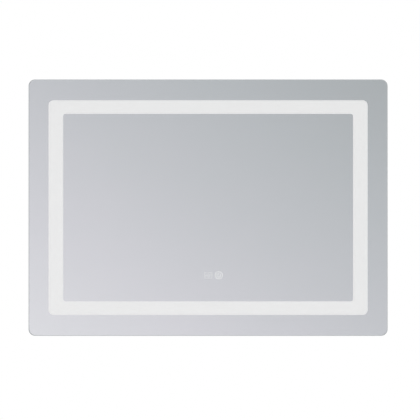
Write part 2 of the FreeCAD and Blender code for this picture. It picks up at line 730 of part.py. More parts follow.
def rails():
    """Two rails that hook into each other. The mirror's lip stands in the pocket of the wall rail."""
    sheet, gap = "sizes.rail_sheet", "sizes.rail_clearance"
    seat, foot = "layout.hook_seat", "-sizes.wall_rail_height / 2"
    pocket_depth = f"({sheet} + 2 * {gap})"
    lip_front, lip_end = f"-({pocket_depth} + {sheet})", f"{seat} + sizes.hook_height - sizes.hook_relief"
    wall = new_body("wall_rail")
    wall_section = new_sketch(wall, "section", "YZ_Plane")
    add_polygon(wall_section, [
        ("0", foot), (f"-{sheet}", foot), (f"-{sheet}", f"{seat} - {sheet}"),
        (lip_front, f"{seat} - {sheet}"),
        (lip_front, lip_end), (f"-{pocket_depth}", lip_end), (f"-{pocket_depth}", seat), ("0", seat),
    ])
    pad(wall, wall_section, "sizes.wall_rail_length", both_ways=True)
    dress(wall, "Chamfer", "sizes.rail_edge_chamfer", lambda edge: edge.BoundBox.XLength > 1)
    slots = new_sketch(wall, "slots")
    for side in ("", "-"):
        add_slot(slots, "sizes.wall_slot_length", "sizes.wall_slot_radius",
                 f"{side}sizes.wall_screw_spacing / 2")
    pocket(wall, slots, both_ways=True)
    place(wall, "0", "0", "0")

    lip_rear, bend = f"-{gap}", f"{seat} + sizes.hook_height"
    top = f"{bend} + sizes.mirror_rail_flange"
    mirror = new_body("mirror_rail")
    mirror_section = new_sketch(mirror, "section", "YZ_Plane")
    panel_face, flange_rear = "-layout.panel_rear", f"-(layout.panel_rear - {sheet})"
    add_polygon(mirror_section, [
        (lip_rear, seat), (f"-({gap} + {sheet})", seat), (f"-({gap} + {sheet})", bend), (panel_face, bend),
        (panel_face, top), (flange_rear, top), (flange_rear, f"{bend} + {sheet}"),
        (lip_rear, f"{bend} + {sheet}"),
    ])
    pad(mirror, mirror_section, "sizes.mirror_rail_length", both_ways=True)
    dress(mirror, "Chamfer", "sizes.rail_edge_chamfer", lambda edge: edge.BoundBox.XLength > 1)
    holes = new_sketch(mirror, "holes")
    for across in RAIL_SCREWS:
        add_octagon(holes, "sizes.pan_shank_radius + sizes.hole_clearance", across, "layout.rail_screw_z")
    pocket(mirror, holes, both_ways=True)
    place(mirror, "0", "0", "0")


def wall_bumpers():
    bumper = new_body("bumper", hand_in=False)
    outline = new_sketch(bumper, "outline")
    add_rectangle(outline, "sizes.bumper_side", "sizes.bumper_side")
    pad(bumper, outline, "layout.panel_rear", rearward=True)
    dress(bumper, "Chamfer", "sizes.bumper_chamfer", flat_to("Y", value("layout.panel_rear")))
    inset = "sizes.bumper_corner_gap"
    places = [(f"{right} * (layout.frame_width / 2 - {inset})", "layout.panel_rear",
               f"layout.centre_z + {top} * (layout.frame_height / 2 - {inset})")
              for right in (1, -1) for top in (1, -1)]
    group("wall_bumpers", bumper, places)


def cable_grommet():
    """A rubber ring that grips the edge of its hole in the back panel."""
    grommet = new_body("cable_grommet")
    profile = new_sketch(grommet, "profile", "XY_Plane")
    bore, neck = "sizes.grommet_bore_radius", "sizes.grommet_neck_radius"
    flange = "sizes.grommet_flange_radius"
    thick, sheet = "sizes.grommet_flange_thickness", "sizes.panel_thickness"
    add_polygon(profile, [
        (bore, thick), (flange, thick), (flange, "0"), (neck, "0"),
        (neck, f"-{sheet}"), (flange, f"-{sheet}"), (flange, f"-({sheet} + {thick})"),
        (bore, f"-({sheet} + {thick})"),
    ])
    revolve(grommet, profile)
    place(grommet, "sizes.grommet_x", "layout.panel_rear", "layout.grommet_z")


def pole_places():
    return [f"{step} * sizes.terminal_pitch" for step in (-1, 0, 1)]


def terminal_block():
    """A three-pole block: moulded body, brass contacts, and the screws that clamp the leads."""
    height, depth, chamfer = "sizes.terminal_height", "sizes.terminal_depth", "sizes.terminal_chamfer"
    room = "(sizes.contact_side + 2 * sizes.contact_clearance)"
    contact_length = f"({height} - 2 * sizes.contact_recess)"
    contact_top = "(sizes.lead_height + sizes.contact_side / 2)"
    block = new_body("terminal_body")
    section = new_sketch(block, "section", "YZ_Plane")
    add_polygon(section, [
        ("0", f"-{height} / 2"), (f"-({depth} - {chamfer})", f"-{height} / 2"),
        (f"-{depth}", f"-({height} / 2 - {chamfer})"), (f"-{depth}", f"{height} / 2 - {chamfer}"),
        (f"-({depth} - {chamfer})", f"{height} / 2"), ("0", f"{height} / 2"),
    ])
    pad(block, section, "sizes.terminal_width", both_ways=True)
    rooms = new_sketch(block, "rooms", "XY_Plane")
    wells = new_sketch(block, "wells", lift=depth)
    contacts = new_body("terminal_contacts")
    bars = new_sketch(contacts, "bars", "XY_Plane")
    clamps = new_body("terminal_screws")
    heads = new_sketch(clamps, "heads", lift=contact_top)
    for pole in pole_places():
        add_rectangle(rooms, room, room, pole, "-sizes.lead_height")
        add_octagon(wells, "sizes.clamp_screw_radius + sizes.hole_clearance", pole)
        add_rectangle(bars, "sizes.contact_side", "sizes.contact_side", pole, "-sizes.lead_height")
        add_octagon(bars, "sizes.contact_bore_radius", pole, "-sizes.lead_height")
        add_octagon(heads, "sizes.clamp_screw_radius", pole)
    pocket(block, rooms, both_ways=True)
    pocket(block, wells, f"{depth} - sizes.lead_height")
    pad(contacts, bars, contact_length, both_ways=True)
    pad(clamps, heads, f"{depth} - {contact_top} - sizes.clamp_screw_recess")
    for body in (block, contacts, clamps):
        place(body, "sizes.terminal_x", "layout.frame_rear", "layout.terminal_z")


def earth_stud():
    stud = new_body("earth_stud")
    rest = "(sizes.lead_height - sizes.nut_height / 2)"
    collar = new_sketch(stud, "collar")
    add_octagon(collar, "sizes.stud_collar_radius")
    pad(stud, collar, rest)
    thread = new_sketch(stud, "thread", lift=rest)
    add_octagon(thread, "sizes.stud_radius")
    pad(stud, thread, "sizes.nut_height + sizes.stud_proud")
    nut = new_body("earth_nut")
    outline = new_sketch(nut, "outline", lift=rest)
    corner = "sizes.nut_apothem / cos(30)"
    add_polygon(outline, [(f"{corner} * cos({angle})", f"{corner} * sin({angle})")
                          for angle in range(30, 390, 60)])
    add_octagon(outline, "sizes.stud_radius + sizes.thread_clearance")
    pad(nut, outline, "sizes.nut_height")
    for body in (stud, nut):
        place(body, "sizes.stud_x", "layout.frame_rear", "layout.stud_z")


def driver_screw_places():
    """Across places of the two driver screws, one in the ear at each end."""
    reach = "(sizes.driver_length + sizes.driver_ear_length) / 2"
    return [f"sizes.driver_x + {reach}", f"sizes.driver_x - {reach}"]


def driver():
    """The LED driver: an open base with ears, its cover, and the board with the largest parts on it."""
    length, width, wall = "sizes.driver_length", "sizes.driver_width", "sizes.driver_wall"
    rise = "sizes.driver_base_height"
    inner_length, inner_width = f"({length} - 2 * {wall})", f"({width} - 2 * {wall})"
    base = new_body("driver_base")
    outline = new_sketch(base, "outline")
    add_rectangle(outline, length, width)
    pad(base, outline, rise)
    inside = new_sketch(base, "inside", lift=rise)
    add_rectangle(inside, inner_length, inner_width)
    pocket(base, inside, f"{rise} - {wall}")
    bosses = new_sketch(base, "bosses", lift=wall)
    for right in (1, -1):
        for top in (1, -1):
            add_octagon(bosses, "sizes.board_boss_radius",
                        f"{right} * ({length} / 2 - sizes.board_boss_inset)",
                        f"{top} * ({width} / 2 - sizes.board_boss_inset)")
    pad(base, bosses, "sizes.board_boss_height")
    ears = new_sketch(base, "ears")
    for end in ("", "-"):
        add_rectangle(ears, "sizes.driver_ear_length", "sizes.driver_ear_width",
                      f"{end}({length} + sizes.driver_ear_length) / 2")
        add_octagon(ears, "sizes.pan_shank_radius + sizes.hole_clearance",
                    f"{end}({length} + sizes.driver_ear_length) / 2")
    pad(base, ears, "sizes.driver_ear_thickness")

    cover = new_body("driver_cover")
    lid = new_sketch(cover, "lid")
    add_rectangle(lid, length, width)
    pad(cover, lid, "sizes.driver_cover_height")
    dress(cover, "Chamfer", f"{wall} / 2", flat_to("Y", -value("sizes.driver_cover_height")))
    under = new_sketch(cover, "under")
    add_rectangle(under, inner_length, inner_width)
    pocket(cover, under, f"sizes.driver_cover_height - {wall}", forward=True)

    board = new_body("driver_board")
    card = new_sketch(board, "card")
    add_rectangle(card, f"{inner_length} - 2 * sizes.board_gap", f"{inner_width} - 2 * sizes.board_gap")
    pad(board, card, "sizes.board_thickness")
    transformer = new_body("driver_transformer")
    core = new_sketch(transformer, "core")
    add_rectangle(core, "sizes.transformer_length", "sizes.transformer_width", "sizes.transformer_x")
    pad(transformer, core, "sizes.transformer_height")
    dress(transformer, "Chamfer", "sizes.board_thickness", flat_to("Y", -value("sizes.transformer_height")))
    capacitors = new_body("driver_capacitors")
    cans = new_sketch(capacitors, "cans")
    for side in ("", "-"):
        add_octagon(cans, "sizes.capacitor_radius", "sizes.capacitor_x", f"{side}sizes.capacitor_pitch / 2")
    pad(capacitors, cans, "sizes.capacitor_height")

    on_board = "layout.frame_rear + layout.driver_board_level + sizes.board_thickness"
    for body, depth in ((base, "layout.frame_rear"), (cover, f"layout.frame_rear + {rise}"),
                        (board, "layout.frame_rear + layout.driver_board_level"),
                        (transformer, on_board), (capacitors, on_board)):
        place(body, "sizes.driver_x", depth, "layout.driver_z")
    ear_face = "layout.frame_rear + sizes.driver_ear_thickness"
    group("driver_screws", pan_screw("driver_screw", "sizes.short_length"),
          [(across, ear_face, "layout.driver_z") for across in driver_screw_places()], facing_front=True)


def touch_sensor():
    """A case stuck to the back of the silver, a board on bosses, and a spring electrode at each symbol."""
    width, height, wall = "layout.touch_width", "sizes.touch_case_height", "sizes.touch_case_wall"
    level = "layout.touch_board_level"
    boss_inset = f"({wall} + sizes.board_gap + sizes.touch_boss_radius)"
    case = new_body("touch_case")
    outline = new_sketch(case, "outline")
    add_rounded_rectangle(outline, width, height, "sizes.touch_case_radius")
    pad(case, outline, "sizes.touch_case_depth")
    inside = new_sketch(case, "inside", lift="sizes.touch_case_depth")
    add_rectangle(inside, f"{width} - 2 * {wall}", f"{height} - 2 * {wall}")
    pocket(case, inside, f"sizes.touch_case_depth - {wall}")
    bosses = new_sketch(case, "bosses", lift=wall)
    for right in (1, -1):
        for top in (1, -1):
            add_octagon(bosses, "sizes.touch_boss_radius", f"{right} * ({width} / 2 - {boss_inset})",
                        f"{top} * ({height} / 2 - {boss_inset})")
    pad(case, bosses, "sizes.touch_boss_height")
    board = new_body("touch_board")
    card = new_sketch(board, "card")
    add_rectangle(card, f"{width} - 2 * ({wall} + sizes.board_gap)",
                  f"{height} - 2 * ({wall} + sizes.board_gap)")
    pad(board, card, "sizes.touch_board_thickness")
    springs = new_body("touch_springs")
    coils = new_sketch(springs, "coils")
    for symbol in ("sizes.demister_symbol_x", "sizes.power_symbol_x"):
        across = f"{symbol} - layout.touch_x"
        add_octagon(coils, "sizes.touch_spring_radius", across)
        add_octagon(coils, "sizes.touch_spring_radius - sizes.touch_spring_wire", across)
    pad(springs, coils, f"sizes.touch_case_depth - {level} - sizes.touch_board_thickness")
    for body, depth in ((case, "layout.touch_rear"), (board, f"layout.touch_rear + {level}"),
                        (springs, f"layout.touch_rear + {level} + sizes.touch_board_thickness")):
        place(body, "layout.touch_x", depth, "layout.touch_z")


def bent_path(route, bend):
    """Straight runs joined by tangent arcs, none wider than bend or than its runs leave room for."""
    edges, start = [], route[0]
    for before, corner, after in zip(route, route[1:], route[2:]):
        back, ahead = (before - corner).normalize(), (after - corner).normalize()
        half_turn = (math.pi - back.getAngle(ahead)) / 2
        shorter = min((before - corner).Length, (after - corner).Length)
        radius = min(bend, 0.45 * shorter / math.tan(half_turn))
        reach = radius * math.tan(half_turn)
        inwards = (back + ahead).normalize()
        middle = corner + inwards * (radius / math.cos(half_turn) - radius)
        entry, leave = corner + back * reach, corner + ahead * reach
        edges.append(Part.LineSegment(start, entry).toShape())
        edges.append(Part.Arc(entry, middle, leave).toShape())
        start = leave
    edges.append(Part.LineSegment(start, route[-1]).toShape())
    return Part.Wire(edges)


def points_of(route):
    """A route of formulas for across, depth and up, as points."""
    return [Vector(value(across), -value(depth), value(up)) for across, depth, up in route]


def tube(route, radius, bend):
    """A six-sided tube along a route, compared with its section times its length."""
    path = bent_path(points_of(route), bend)
    start = path.Vertexes[0].Point
    heading = path.Edges[0].tangentAt(path.Edges[0].FirstParameter)
    across = heading.cross(Vector(0, 1, 0) if abs(heading.y) < 0.9 else Vector(1, 0, 0)).normalize() * radius
    corners = [start + FreeCAD.Rotation(heading, 60 * k).multVec(across) for k in range(6)]
    solid = path.makePipeShell([Part.makePolygon(corners + corners[:1])], True, False)
    expected = 1.5 * math.sqrt(3) * radius ** 2 * path.Length
    if abs(solid.Volume - expected) > 0.02 * expected:
        raise RuntimeError("a lead's volume is not its section times its length")
    return solid


def shaped(label, shape):
    feature = doc.addObject("Part::Feature", label)
    feature.Shape = shape
    exported.append(feature)
    return feature


def leads():
    """The insulated leads, each from the face that it leaves to the face that it meets."""
    radius, bend = value("sizes.lead_radius"), value("sizes.lead_bend")
    level = "layout.lead_depth"
    contact = "layout.terminal_z + sizes.terminal_height / 2 - sizes.contact_recess"
    live, neutral, earth = (f"sizes.terminal_x + {pole}" for pole in pole_places())
    driver_right = "sizes.driver_x + sizes.driver_length / 2"
    driver_left = "sizes.driver_x - sizes.driver_length / 2"
    upper, lower = "layout.driver_z + sizes.driver_width / 4", "layout.driver_z - sizes.driver_width / 4"
    shaped("live_lead", tube([(live, level, contact), (live, level, lower), (driver_right, level, lower)],
                             radius, bend))
    shaped("neutral_lead", tube([(neutral, level, contact), (neutral, level, upper),
                                 (driver_right, level, upper)], radius, bend))
    shaped("earth_lead", tube([(earth, level, contact), (earth, level, "layout.stud_z"),
                               ("sizes.stud_x - sizes.nut_apothem", level, "layout.stud_z")], radius, bend))
    outside = f"{driver_left} - sizes.driver_ear_length - sizes.lead_sag"
    case_left, case_level = "layout.touch_x - layout.touch_width / 2", "layout.touch_lead_depth"
    shaped("led_supply_lead", tube([
        (driver_left, level, lower), (outside, level, lower),
        (outside, level, "layout.touch_z + 2 * sizes.lead_sag"),
        (f"{outside} + sizes.lead_sag", case_level, "layout.touch_z"),
        (case_left, case_level, "layout.touch_z"),
    ], radius, bend))

    # The feed lands square on the lower tape, halfway between two LEDs
    landing_step = "(floor(layout.leds_across / 2) - (layout.leds_across - 1) / 2 + 0.5)"
    landing_x = f"-{landing_step} * sizes.led_pitch"
    shelf_z = "layout.centre_z - layout.frame_height / 2 + layout.shelf_inset"
    shelf_d = "layout.frame_rear + layout.shelf_depth"
    rise = "sizes.tape_thickness / sqrt(2)"
    stand_off = "(sizes.tape_thickness + 2 * sizes.channel_lip) / sqrt(2)"
    case_low = "layout.touch_z - sizes.touch_case_height / 2"
    shaped("led_feed_lead", tube([
        (landing_x, case_level, case_low), (landing_x, case_level, f"{case_low} - sizes.lead_sag"),
        (landing_x, f"{shelf_d} + {stand_off}", f"{shelf_z} + {stand_off}"),
        (landing_x, f"{shelf_d} + {rise}", f"{shelf_z} + {rise}"),
    ], radius, bend))
    case_high = "layout.touch_z + sizes.touch_case_height / 2"
    pad_edge = "layout.demister_z - sizes.demister_height / 2 + sizes.foil_margin / 2"
    shaped("demister_lead", tube([
        ("layout.touch_x", case_level, case_high), ("layout.touch_x", case_level, pad_edge),
        ("layout.touch_x", "layout.demister_rear", pad_edge),
    ], radius, bend))


def led_jumpers():
    """Short wires that join the tapes round three of the corners, just over the light shelf."""
    radius = value("sizes.jumper_radius")
    over = "(sizes.tape_thickness + sizes.jumper_radius + sizes.thread_clearance) / sqrt(2)"
    inset, depth = f"(layout.shelf_inset + {over})", f"layout.frame_rear + layout.shelf_depth + {over}"
    wires = []
    for right, top in ((1, 1), (-1, 1), (-1, -1)):
        across = f"{right} * (layout.frame_width / 2 - {inset})"
        up = f"layout.centre_z + {top} * (layout.frame_height / 2 - {inset})"
        wires.append(tube([
            (f"{right} * (layout.tape_across / 2 - sizes.jumper_overlap)", depth, up), (across, depth, up),
            (across, depth, f"layout.centre_z + {top} * (layout.tape_up / 2 - sizes.jumper_overlap)"),
        ], radius, value("sizes.tape_end_gap")))
    shaped("led_jumpers", Part.makeCompound(wires))


def lead_clips():
    """Saddles stuck to the back panel that carry the leads at their height."""
    clip = new_body("lead_clip", hand_in=False)
    section = new_sketch(clip, "section", "XY_Plane")
    bore = "(sizes.lead_radius + sizes.hole_clearance)"
    half_post, top = f"({bore} + sizes.clip_wall)", f"(sizes.lead_height + {bore} + sizes.clip_wall)"
    add_polygon(section, [
        ("-sizes.clip_width / 2", "0"), ("-sizes.clip_width / 2", "-sizes.clip_base"),
        (f"-{half_post}", "-sizes.clip_base"), (f"-{half_post}", f"-{top}"), (half_post, f"-{top}"),
        (half_post, "-sizes.clip_base"), ("sizes.clip_width / 2", "-sizes.clip_base"),
        ("sizes.clip_width / 2", "0"),
    ])
    add_octagon(section, bore, "0", "-sizes.lead_height")
    pad(clip, section, "sizes.clip_length", both_ways=True)
    live, neutral = (f"sizes.terminal_x + {pole}" for pole in pole_places()[:2])
    supply = "sizes.driver_x - sizes.driver_length / 2 - sizes.driver_ear_length - sizes.lead_sag"
    group("lead_clips", clip, [
        (live, "layout.frame_rear", "layout.terminal_z + 3 * sizes.clip_width"),
        (neutral, "layout.frame_rear", "layout.terminal_z + 5 * sizes.clip_width"),
        (supply, "layout.frame_rear", "layout.driver_z - 5 * sizes.clip_width"),
    ])


def demister():
    """A film pad on the back of the silver, and the foil that heats it."""
    film = new_body("demister_pad")
    outline = new_sketch(film, "outline")
    add_rounded_rectangle(outline, "sizes.demister_width", "sizes.demister_height",
                          "sizes.demister_corner_radius")
    pad(film, outline, "sizes.demister_thickness")
    place(film, "0", "layout.demister_rear", "layout.demister_z")

    # The foil runs across in straight lines, joined by short links at alternate ends
    foil = new_body("demister_foil")
    line = "sizes.foil_width"
    run_length = "(sizes.demister_width - 2 * sizes.foil_margin)"
    pitch = f"((sizes.demister_height - 2 * sizes.foil_margin - {line}) / (2 * sizes.foil_pairs - 1))"
    lowest = f"-({pitch} * (2 * sizes.foil_pairs - 1) / 2)"
    run = new_sketch(foil, "run")
    add_rectangle(run, run_length, line, "0", lowest)
    run_pad = pad(foil, run, "sizes.foil_thickness")
    pattern(foil, [run_pad], "Z_Axis", pitch, "2 * sizes.foil_pairs")
    for name, end, up, links in (("right", "", f"{lowest} + {pitch} / 2", "sizes.foil_pairs"),
                                 ("left", "-", f"{lowest} + {pitch} * 1.5", "sizes.foil_pairs - 1")):
        link = new_sketch(foil, f"{name}_link")
        add_rectangle(link, line, pitch, f"{end}({run_length} - {line}) / 2", up)
        link_pad = pad(foil, link, "sizes.foil_thickness")
        pattern(foil, [link_pad], "Z_Axis", f"2 * {pitch}", links)
    place(foil, "0", "layout.demister_rear - sizes.foil_thickness", "layout.demister_z")


mirror_glass()
coatings()
frame_adhesive()
for side in SIDES:
    frame_member(side)
    led_tape(side)
    diffuser(side)
corner_keys()
back_panel()
panel_screws()
rails()
wall_bumpers()
cable_grommet()
terminal_block()
earth_stud()
driver()
touch_sensor()
leads()
led_jumpers()
lead_clips()
demister()
doc.recompute()

for item in doc.Objects:
    if "Invalid" in item.State or "Error" in item.State:
        raise RuntimeError(f"{item.Label} did not build")
for item in exported:
    if item.Shape.isNull() or not item.Shape.isValid() or not item.Shape.Solids:
        raise RuntimeError(f"{item.Label} has no valid solid")

os.makedirs("parts", exist_ok=True)
for item in exported:
    item.Shape.exportStep(f"parts/{item.Label}.step")
print(len(exported), "nodes,", sum(len(item.Shape.Solids) for item in exported), "solids")
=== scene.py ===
import math

import bmesh
import bpy
from mathutils import Matrix, Vector


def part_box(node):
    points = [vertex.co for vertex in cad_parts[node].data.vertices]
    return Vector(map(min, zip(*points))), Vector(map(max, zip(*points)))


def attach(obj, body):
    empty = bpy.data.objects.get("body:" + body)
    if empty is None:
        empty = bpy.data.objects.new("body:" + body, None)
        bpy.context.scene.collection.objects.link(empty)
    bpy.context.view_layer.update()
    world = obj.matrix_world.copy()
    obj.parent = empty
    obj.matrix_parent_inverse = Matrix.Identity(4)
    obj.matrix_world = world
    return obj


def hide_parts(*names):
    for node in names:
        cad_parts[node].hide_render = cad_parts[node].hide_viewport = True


# A lit bathroom mirror, hung on its rail and seen square from the front. Lengths are in metres.

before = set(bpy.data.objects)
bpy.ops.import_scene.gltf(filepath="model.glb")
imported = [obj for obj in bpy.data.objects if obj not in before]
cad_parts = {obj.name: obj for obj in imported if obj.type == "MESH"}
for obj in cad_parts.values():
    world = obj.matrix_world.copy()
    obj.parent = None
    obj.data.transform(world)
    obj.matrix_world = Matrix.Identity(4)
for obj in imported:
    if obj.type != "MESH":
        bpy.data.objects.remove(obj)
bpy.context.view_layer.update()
scene = bpy.context.scene
MM = 0.001

GLASS_LOW, GLASS_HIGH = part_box("mirror_glass")
MIDDLE = (GLASS_LOW + GLASS_HIGH) / 2
SILVER_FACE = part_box("silver_field")[0].y
TOUCH_LOW, TOUCH_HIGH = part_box("touch_board")
TOUCH = (TOUCH_LOW + TOUCH_HIGH) / 2

# Corners closer than this count as one, and edges that turn by more than this are sharp
HAIR = 1e-6
SHARP_TURN = math.radians(35)

# The glass, which stops just short of the silver behind it
GLASS_CORNER = 13 * MM
GLASS_SEAM = 0.5 * MM
SILVER_GAP = 0.06 * MM

# The two lit marks, between the silver and the glass, to the left and right of the touch board's middle
MARK_SPREAD = 10.35 * MM
MARK_RISE = 0.5 * MM
MARK_GAP = 0.01 * MM
MARK_THICKNESS = 0.02 * MM
WAVE_RADIUS = 1.6 * MM
WAVE_PITCH = 3.9 * MM

# How far the edges of the pressed panel, and of the rails and the frame, are rounded
PANEL_EDGE = 0.35 * MM
METAL_EDGE = 0.15 * MM

# Pan-head screws. A ring is its radius and its height over the seat, or its drop below it, in mm.
SCREW_LENGTH = 7 * MM
HEAD_TOP = 2.0 * MM
HEAD_FLAT = 2.1 * MM
HEAD_RINGS = ((2.6, 1.84), (3.0, 1.45), (3.25, 0.8), (3.25, 0.12), (3.15, 0.0), (1.45, 0.0))
RECESS_HALF = 0.42 * MM
RECESS_DEPTH = 1.3 * MM
RECESS_TAPER = 0.6
THREAD_PITCH = 1.0 * MM
THREAD_RINGS = ((1.15, 0.2), (1.15, 0.55), (1.45, 0.7))
TIP_RADIUS = 0.3 * MM
TURN_BETWEEN_SCREWS = math.radians(37)

# One lip of the grommet, from its bore round to its groove, as radius and height over the panel's
# middle, in mm
GROMMET_LIP = ((3.5, 2.5), (5.4, 2.5), (7.2, 2.35), (8.5, 1.75), (9.0, 1.0), (8.6, 0.5), (6.0, 0.5))

# A foot that rests on the wall
FOOT_SIDE = 14 * MM
FOOT_CORNER = 3 * MM
FOOT_EDGE = 1.2 * MM
FOOT_LIP = 1.0 * MM
CUP_SLOPE = 0.4 * MM
CUP_DEPTH = 0.6 * MM

# The picture is a square of this many pixels, and a pixel is this long on the front of the glass
PICTURE_SIDE = 420
PIXEL = 1.9495 * MM
CAMERA_REACH = 2.6
CAMERA_RIGHT = 3.7 * MM
CAMERA_DROP = 4.7 * MM
FLOOR_DROP = 3.0
FLOOR_REACH = 4

# Each lamp's name, place, power in watts and side
LAMPS = (
    ("key", (-1.5, -2.0, 1.3), 34, 1.6),
    ("fill", (1.8, -1.6, 0.2), 18, 1.6),
    ("rear_key", (2.0, 1.2, 1.5), 48, 1.0),
    ("rear_fill", (-1.8, 1.4, 0.1), 12, 1.6),
)
WHITE = (1, 1, 1, 1)


def written(red, green, blue):
    """A colour as it is read off a screen, from 0 to 255, as a shader's colour."""
    def straight(level):
        level /= 255
        return level / 12.92 if level <= 0.04045 else ((level + 0.055) / 1.055) ** 2.4
    return (straight(red), straight(green), straight(blue), 1.0)


def shade(colour, by):
    """A colour made darker or lighter."""
    return (*[min(1.0, level * by) for level in colour[:3]], 1.0)


# Finishes

class Wire:
    """A value in a finish. Arithmetic on it adds Math nodes."""

    def __init__(self, finish, socket):
        self.finish = finish
        self.socket = socket

    def reckon(self, operation, first, second):
        """A Math node on two values."""
        return self.finish.node("ShaderNodeMath", {"operation": operation}, {0: first, 1: second})

    def __add__(self, other):
        return self.reckon("ADD", self, other)

    def __radd__(self, other):
        return self.reckon("ADD", other, self)

    def __sub__(self, other):
        return self.reckon("SUBTRACT", self, other)

    def __rsub__(self, other):
        return self.reckon("SUBTRACT", other, self)

    def __mul__(self, other):
        return self.reckon("MULTIPLY", self, other)

    def __rmul__(self, other):
        return self.reckon("MULTIPLY", other, self)

    def __lt__(self, other):
        return self.reckon("LESS_THAN", self, other)


class Finish:
    """The nodes of one material, or of the air round the mirror."""

    def __init__(self, name, owner=None):
        self.material = owner or bpy.data.materials.new(name)
        self.material.use_nodes = True
        self.tree = self.material.node_tree
        self.tree.nodes.clear()

    def node(self, kind, settings=None, values=None, output=0):
        """Adds a node with its settings and the values or links of its inputs, and gives one output."""
        made = self.tree.nodes.new(kind)
        for name, setting in (settings or {}).items():
            if name != "stops":
                setattr(made, name, setting)
                continue
            ramp = made.color_ramp.elements
            while len(ramp) < len(setting):
                ramp.new(1.0)
            for stop, (place, colour) in zip(ramp, setting):
                stop.position = place
                stop.color = colour
        for name, value in (values or {}).items():
            if isinstance(value, Wire):
                self.tree.links.new(value.socket, made.inputs[name])
            else:
                made.inputs[name].default_value = value
        return Wire(self, made.outputs[output]) if made.outputs else None

    def place(self, stretch=(1, 1, 1)):
        """The place on the piece. A stretch of more than 1 packs a pattern closer along that axis."""
        here = self.node("ShaderNodeTexCoord", output="Object")
        return self.node("ShaderNodeMapping", {}, {"Vector": here, "Scale": stretch})

    def axes(self, vector):
        """The parts of a vector along X, Y and Z."""
        first = self.node("ShaderNodeSeparateXYZ", {}, {0: vector})
        return [Wire(self, socket) for socket in first.socket.node.outputs]

    def noise(self, per_metre, detail=2.0, stretch=(1, 1, 1)):
        """Soft random patches, so many to a metre."""
        return self.node("ShaderNodeTexNoise", {}, {
            "Vector": self.place(stretch), "Scale": per_metre, "Detail": detail})

    def rise(self, value, low, high):
        """0 up to low, 1 from high on, and smooth between them."""
        return self.node("ShaderNodeMapRange", {"interpolation_type": "SMOOTHSTEP"}, {
            "Value": value, "From Min": low, "From Max": high})

    def blend(self, share, first, second):
        """The first colour where the share is 0, the second where it is 1."""
        return self.node("ShaderNodeMix", {"data_type": "RGBA"}, {0: share, 6: first, 7: second}, output=2)

    def shades(self, value, *colours):
        """The colours in turn as the value goes from 0 to 1."""
        stops = [(k / (len(colours) - 1), colour) for k, colour in enumerate(colours)]
        return self.node("ShaderNodeValToRGB", {"stops": stops}, {"Fac": value})

    def surface(self, height=None, depth=0.0, **sockets):
        """Ends the material with its shader. A height from 0 to 1 makes a bump of that depth."""
        values = {name.replace("_", " "): value for name, value in sockets.items()}
        if height is not None:
            values["Normal"] = self.node("ShaderNodeBump", {}, {
                "Strength": 1.0, "Distance": depth, "Height": height})
        shader = self.node("ShaderNodeBsdfPrincipled", {}, values)
        self.node("ShaderNodeOutputMaterial", {}, {"Surface": shader})
        return self.material


def float_glass():
    """Clear glass with the faintest drift of tint and polish along the float line."""
    finish = Finish("float_glass")
    drift = finish.noise(7, 2, (1, 1, 3))
    colour = finish.shades(drift, (0.98, 0.992, 0.987, 1), (0.99, 0.996, 0.993, 1))
    return finish.surface(Base_Color=colour, Roughness=0.004 * drift, IOR=1.5, Transmission_Weight=1.0)


def polished_rim():
    """The polished edge of the glass, which throws back what lies beside it with the green of its depth."""
    finish = Finish("polished_rim")
    streak = finish.noise(60)
    colour = finish.shades(streak, (0.56, 0.66, 0.62, 1), (0.68, 0.76, 0.73, 1))
    return finish.surface(Base_Color=colour, Metallic=1.0, Roughness=0.16 + streak * 0.06)


def silvering():
    """Silver to the front, and the grey paint that protects it to the rear."""
    finish = Finish("silvering")
    facing = finish.axes(finish.node("ShaderNodeNewGeometry", output="Normal"))[1]
    front = facing < -0.5
    orange_peel = finish.noise(420)
    paint = finish.shades(orange_peel, written(128, 133, 137), written(146, 150, 153))
    colour = finish.blend(front, paint, (0.955, 0.96, 0.965, 1))
    return finish.surface(Base_Color=colour, Metallic=front,
                          Roughness=0.015 * front + (0.42 + orange_peel * 0.12) * (1 - front))


def lit_enamel():
    """White enamel on blasted glass, with the light behind it."""
    finish = Finish("lit_enamel")
    blasted = finish.noise(1500)
    colour = finish.shades(blasted, (0.43, 0.43, 0.43, 1), (0.47, 0.47, 0.47, 1))
    return finish.surface(Base_Color=colour, Roughness=0.6, Emission_Color=(1, 0.99, 0.985, 1),
                          Emission_Strength=0.685, height=blasted, depth=0.02 * MM)


def lit_mark(name, strength):
    """A clear mark in the silver with a lamp behind it."""
    finish = Finish(name)
    glow = finish.shades(finish.noise(500, 1), (0.93, 0.94, 0.96, 1), WHITE)
    return finish.surface(Base_Color=(0.2, 0.2, 0.21, 1), Roughness=0.4, Emission_Color=glow,
                          Emission_Strength=strength)


def anodised(name, stretch):
    """Satin anodised aluminium with its draw lines along the extrusion."""
    finish = Finish(name)
    lines = finish.noise(30, 4, stretch)
    clouds = finish.noise(12, 3)
    colour = finish.shades(0.7 * lines + 0.3 * clouds, (0.62, 0.63, 0.645, 1), (0.80, 0.805, 0.82, 1))
    return finish.surface(Base_Color=colour, Metallic=1.0, Roughness=0.3 + lines * 0.18,
                          height=lines, depth=0.01 * MM)


def powder_coat(name, colour):
    """Baked powder paint: a fine orange peel, and a little dust and rubbing."""
    finish = Finish(name)
    peel = finish.noise(900)
    rubbed = finish.noise(14, 5)
    tone = finish.shades(rubbed, shade(colour, 0.94), shade(colour, 1.03))
    return finish.surface(Base_Color=tone, Roughness=0.42 + rubbed * 0.2, height=peel, depth=0.06 * MM)


